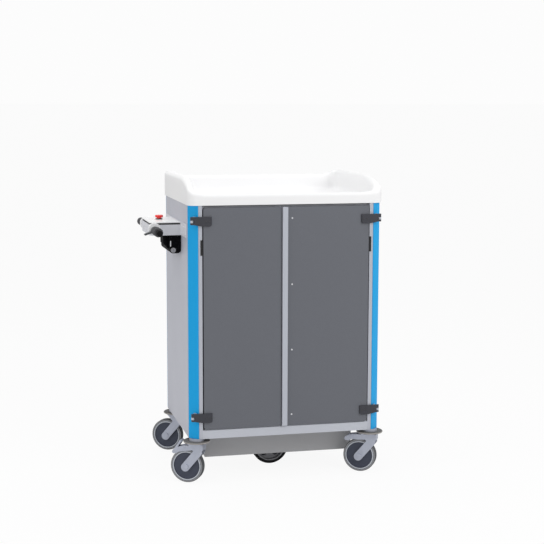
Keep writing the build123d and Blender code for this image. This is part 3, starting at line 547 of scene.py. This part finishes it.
def moulded_tray():
    """A grid laid along the rings, and closed by the floor and the underside."""
    low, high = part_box("top_tray")
    foot = Vector(((low.x + high.x) / 2, (low.y + high.y) / 2, low.z))
    rings = tray_rings((high.x - low.x) / 2, (high.y - low.y) / 2)
    count = len(rings[0])
    piece = start_piece("moulded_tray", bpy.ops.mesh.primitive_grid_add, x_subdivisions=count,
                        y_subdivisions=len(rings) - 1, size=1.0)
    for index, vertex in enumerate(piece.data.vertices):
        row, column = divmod(index, count + 1)
        vertex.co = rings[row][column % count] + foot
    bpy.ops.object.mode_set(mode="EDIT")
    bpy.ops.mesh.select_all(action="SELECT")
    bpy.ops.mesh.remove_doubles(threshold=merge_distance)
    select_open_edges(piece)
    bpy.ops.mesh.fill_holes(sides=0)
    bpy.ops.mesh.select_all(action="SELECT")
    bpy.ops.mesh.normals_make_consistent(inside=False)
    return settle(piece)


dressed(moulded_tray(), tray_white, "cabinet", smooth=50.0, replaced=("top_tray",))


# Castors: the light ring on both faces of each wheel

def wheel_ring():
    """A flat ring with rounded edges, drawn by its insets from the wheel's rim and its heights."""
    low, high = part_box("wheel_centre_front_left")
    rim = (high.z - low.z) / 2
    insets_and_heights = ((0.0065, 0.0), (0.0065, 0.0006), (0.0057, 0.0014), (0.0038, 0.0018),
                          (0.0019, 0.0014), (0.0011, 0.0006), (0.0011, 0.0))
    return turned("wheel_ring", [(rim - inset, height) for inset, height in insets_and_heights], steps=72)


def wheel_rings(corner, model):
    """A copy of the ring on each face of a wheel, across its axle."""
    face_reach = 0.0160
    middle = middle_of(f"wheel_centre_{corner}")
    axle = Vector(joints[f"wheel_{corner}_roll"]["axis"])
    rings = [stood(copied(model, "ring"), middle + side * face_reach, side) for side in (-axle, axle)]
    return joined(f"wheel_rings_{corner}", rings)


ring_model = wheel_ring()
for corner in corners:
    dressed(wheel_rings(corner, ring_model), ring_alloy, f"wheel_{corner}")
bpy.data.objects.remove(ring_model)


# Castors: the grooved ball race between each fork's crown and its bumper disc

def ball_race():
    """A race with a groove round its middle, drawn downwards from its disc's underside."""
    bore, shoulder, rim, groove = 0.0335, 0.0375, 0.0385, 0.0370
    outline = [(bore, -0.0074), (shoulder, -0.0074), (rim, -0.0064), (rim, -0.0048), (groove, -0.0040),
               (rim, -0.0032), (rim, -0.0016), (shoulder, -0.0006), (bore, -0.0006)]
    return turned("ball_race", outline, steps=48)


def swivel_race(corner, model):
    """A copy of the race under the middle of a castor's disc."""
    disc_radius = 0.0625
    low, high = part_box("bumper_discs")
    x = low.x + disc_radius if "left" in corner else high.x - disc_radius
    y = low.y + disc_radius if "front" in corner else high.y - disc_radius
    return stood(copied(model, f"swivel_race_{corner}"), (x, y, low.z), (0, 0, 1))


race_model = ball_race()
for corner in corners:
    dressed(swivel_race(corner, race_model), fork_zinc, f"swivel_{corner}")
bpy.data.objects.remove(race_model)


# Drive wheel: the motor's dark face behind the rim's windows

def motor_face():
    """A disc with a raised bead, seen through the windows."""
    bore, edge, face = 0.022, 0.070, 0.004
    outline = [(bore, -face), (edge, -face), (edge, face), (0.046, face), (0.044, face + 0.001),
               (0.042, face), (bore, face)]
    disc = turned("motor_face", outline, steps=64)
    return stood(disc, middle_of("drive_rim"), joints["drive_wheel_roll"]["axis"])


dressed(motor_face(), battery_black, "drive_wheel")


# Hinges: two screws through each arm into its door

def pan_head():
    """The head of a screw with a recess in its crown."""
    outline = [(0.0, 0.0), (0.0036, 0.0), (0.0036, 0.0006), (0.0030, 0.0013), (0.0016, 0.0016),
               (0.0013, 0.0007), (0.0, 0.0006)]
    return turned("pan_head", outline, steps=20)


def hinge_screws(side, model):
    """Copies of the screw on a door's top and bottom arms, set in from the arms' free ends."""
    half_arm = 0.0215
    low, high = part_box(f"hinge_arms_{side}")
    free_end, towards_hinge = (high.x, -1) if side == "left" else (low.x, 1)
    screws = []
    for height in (low.z + half_arm, high.z - half_arm):
        for inset in (0.009, 0.027):
            place = (free_end + towards_hinge * inset, low.y, height)
            screws.append(stood(copied(model, "screw"), place, (0, -1, 0)))
    return joined(f"hinge_screws_{side}", screws)


screw_model = pan_head()
for side in ("left", "right"):
    dressed(hinge_screws(side, screw_model), screw_black, f"{side}_door")
bpy.data.objects.remove(screw_model)


# Control box: a pale strip on the front corner, a painted highlight where the rounded edge reflects a lamp

def painted_highlight_strip():
    """A slim bar with rounded edges, let into the box's front left corner as a painted highlight of that
    edge.
    """
    low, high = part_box("control_box")
    width, depth, height = 0.004, 0.003, 0.026
    cheek_reach = 0.054
    inset, stand_out, rise = 0.0042, 0.0002, 0.046
    piece = start_piece("painted_highlight_strip", bpy.ops.mesh.primitive_cube_add, size=1.0)
    piece.scale = (width, depth, height)
    piece.location = (high.x - cheek_reach + inset, low.y - stand_out, low.z + rise)
    settle(piece)
    bpy.ops.object.mode_set(mode="EDIT")
    bpy.ops.mesh.select_all(action="SELECT")
    bpy.ops.mesh.bevel(offset=0.0012, segments=3)
    return settle(piece)


# The pale strip is a painted highlight of the box's rounded corner edge, not a part of the box.
dressed(painted_highlight_strip(), cover_white, "cabinet")


# Studio: a pale floor that keeps a soft shadow, white surroundings, three large lamps and the camera

middle = (Vector(cad_bounds[0]) + Vector(cad_bounds[1])) / 2


def studio_floor(glow_share):
    """A large plain floor, which glows to the camera alone and so is nearly white to the eye."""
    floor = start_piece("studio_floor", bpy.ops.mesh.primitive_plane_add, size=600.0,
                        location=(middle.x, middle.y, 0.0))
    finish = Finish("studio_floor", (0.9, 0.9, 0.9), 0.9, specular=0.1)
    seen = finish.node("ShaderNodeLightPath", output="Is Camera Ray")
    glow = finish.node("ShaderNodeEmission")
    plain = Wire(finish, finish.surface.outputs[0])
    mixed = finish.node("ShaderNodeMixShader", None, {0: seen * glow_share, 1: plain, 2: glow})
    finish.join(mixed, finish.tree.nodes["Material Output"].inputs["Surface"])
    give_finish(floor, finish.material)


def studio_world(lighting, white):
    """White where it is seen, directly or in a reflection, and a plain grey light elsewhere."""
    world = bpy.data.worlds.new("studio")
    bpy.context.scene.world = world
    world.use_nodes = True
    wiring = Wiring(world.node_tree)
    seen = wiring.node("ShaderNodeLightPath", output="Is Camera Ray")
    for kind in ("Is Glossy Ray", "Is Transmission Ray"):
        seen = seen.maths("MAXIMUM", seen, wiring.node("ShaderNodeLightPath", output=kind))
    level = wiring.node("ShaderNodeMapRange", None, {"Value": seen, "To Min": lighting, "To Max": white})
    back = wiring.tree.nodes["Background"]
    wiring.join((1.0, 1.0, 1.0, 1.0), back.inputs["Color"])
    wiring.join(level, back.inputs["Strength"])


def held(name, data):
    """An object in the scene that holds a lamp or a camera."""
    holder = bpy.data.objects.new(name, data)
    bpy.context.scene.collection.objects.link(holder)
    return holder


def studio_lamp(name, place, power):
    """A large square lamp aimed at the middle of the cart."""
    lamp = bpy.data.lights.new(name, "AREA")
    lamp.shape = "SQUARE"
    lamp.size = 2.6
    lamp.energy = power
    holder = held(name, lamp)
    holder.location = place
    holder.rotation_euler = (middle - Vector(place)).to_track_quat("-Z", "Y").to_euler()


def photo_camera():
    """The camera at the photograph's angle, which the photograph's own straight edges gave."""
    side_step, stand_back, eye_height = 1.4847, 6.2695, 1.7878
    tilt, roll, turn = 82.48, -0.14, -13.42
    camera = bpy.data.cameras.new("photo_camera")
    camera.sensor_width = 36.0
    camera.lens = 88.13
    cabinet_x = (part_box("side_panel_left")[0].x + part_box("side_panel_right")[1].x) / 2
    cabinet_y = middle_of("side_panel_left").y
    holder = held("photo_camera", camera)
    holder.location = (cabinet_x - side_step, cabinet_y - stand_back, eye_height)
    holder.rotation_euler = [math.radians(angle) for angle in (tilt, roll, turn)]
    bpy.context.scene.camera = holder


studio_floor(glow_share=0.92)
studio_world(lighting=0.57, white=0.975)
studio_lamp("key", (2.6, -3.6, 3.4), power=76.0)
studio_lamp("fill", (-4.4, -1.2, 2.4), power=26.0)
studio_lamp("overhead", (-0.6, -0.1, 4.4), power=38.0)
photo_camera()
bpy.context.scene.view_settings.view_transform = "Standard"
